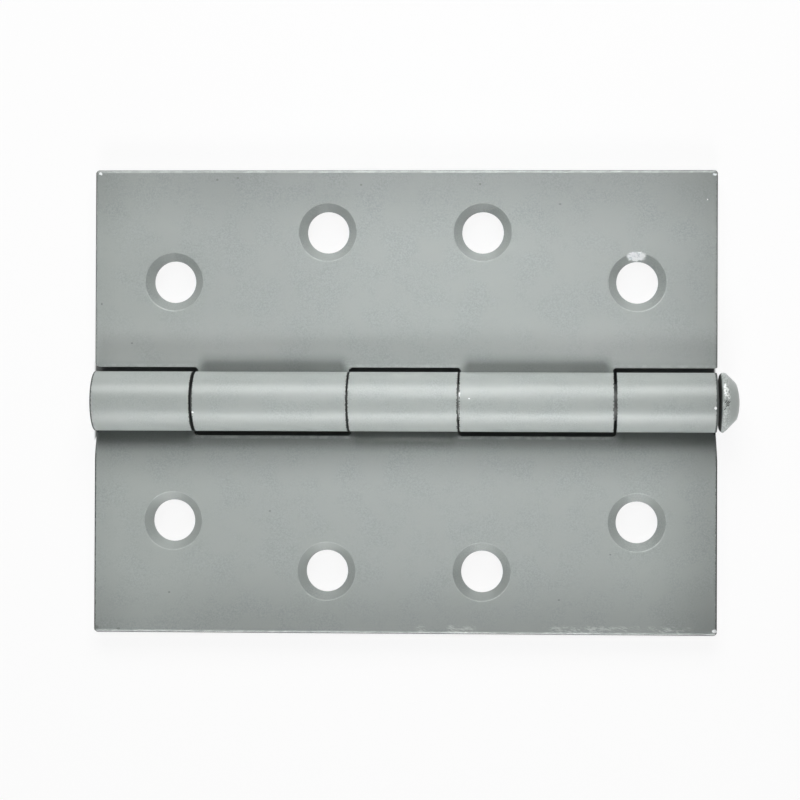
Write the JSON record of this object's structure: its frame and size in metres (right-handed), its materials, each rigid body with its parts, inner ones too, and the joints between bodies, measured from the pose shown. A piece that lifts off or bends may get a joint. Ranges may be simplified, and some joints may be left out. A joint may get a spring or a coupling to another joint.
{
  "type": "loose pin butt hinge",
  "caption": "Steel butt hinge with two flat screwed leaves, a rolled barrel and a headed pin that draws out to part the leaves.",
  "frame": {"origin": "centre of the bounding box, at the height of the pin head's lowest point, which lies 0.05 mm below the barrel's", "axes": "+X along the pin towards its head, +Y across the two-knuckle leaf, +Z out of the front that shows the countersinks"},
  "size_m": [0.1034, 0.0744, 0.0096],
  "materials": {
    "three_knuckle_leaf": "semi-matte silver grey metallic paint",
    "two_knuckle_leaf": "semi-matte silver grey metallic paint",
    "loose_pin": "semi-matte silver grey metallic paint"
  },
  "bodies": {
    "fixed_leaf": {"three_knuckle_leaf": "three_knuckle_leaf"},
    "swinging_leaf": {"two_knuckle_leaf": "two_knuckle_leaf"},
    "pin": {"loose_pin": "loose_pin"}
  },
  "joints": [
    {"name": "leaf_swing", "type": "hinge", "parent": "fixed_leaf", "child": "swinging_leaf", "pos_m": [0, 0, 0.0048], "axis": [1, 0, 0], "range_deg": [-112, 183.5]},
    {"name": "pin_draw", "type": "slide", "parent": "fixed_leaf", "child": "pin", "axis": [1, 0, 0], "range_m": [0, 0.1]}
  ]
}
